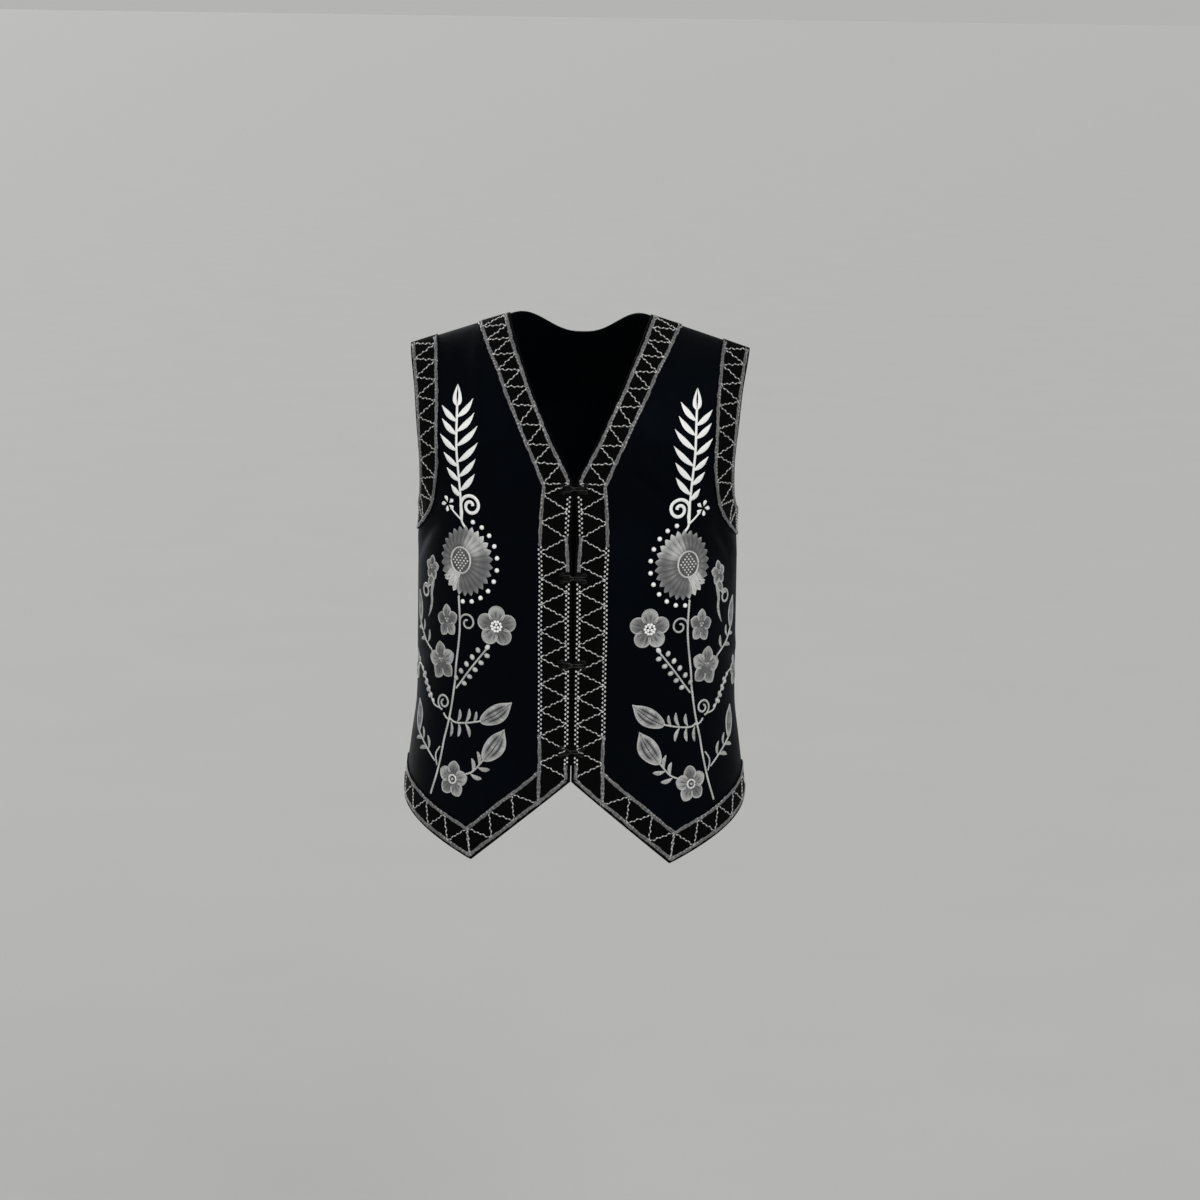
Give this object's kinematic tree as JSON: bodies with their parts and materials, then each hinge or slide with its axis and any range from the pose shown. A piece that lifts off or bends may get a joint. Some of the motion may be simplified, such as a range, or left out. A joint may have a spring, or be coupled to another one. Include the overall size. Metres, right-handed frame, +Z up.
{
  "type": "embroidered folk vest",
  "caption": "Short worn waistcoat with a V neck, edge-to-edge hooked fronts, pointed hems and embroidered border bands.",
  "frame": {"origin": "midway between the two points where the shoulder seams meet the neck edge, where the wearer's shoulders hold the vest", "axes": "+Z up, the fronts face -Y, +X is the wearer's left"},
  "size_m": [0.3508, 0.2282, 0.5404],
  "materials": {
    "velveteen": "near-black short-pile velveteen with a dark blue cast",
    "band_cloth": "matt black woven border tape",
    "grey_thread": "lustrous grey embroidery thread",
    "white_thread": "white embroidery thread",
    "black_wire": "black lacquered brass wire"
  },
  "bodies": {
    "root": {"back": "velveteen", "front_left": "velveteen", "front_right": "velveteen", "front_band_left": "band_cloth", "front_band_right": "band_cloth", "armhole_band_left": "band_cloth", "armhole_band_right": "band_cloth", "hem_band_left": "band_cloth", "hem_band_right": "band_cloth", "hook_1": "black_wire", "hook_2": "black_wire", "hook_3": "black_wire", "hook_4": "black_wire", "eye_1": "black_wire", "eye_2": "black_wire", "eye_3": "black_wire", "eye_4": "black_wire"}
  },
  "joints": []
}
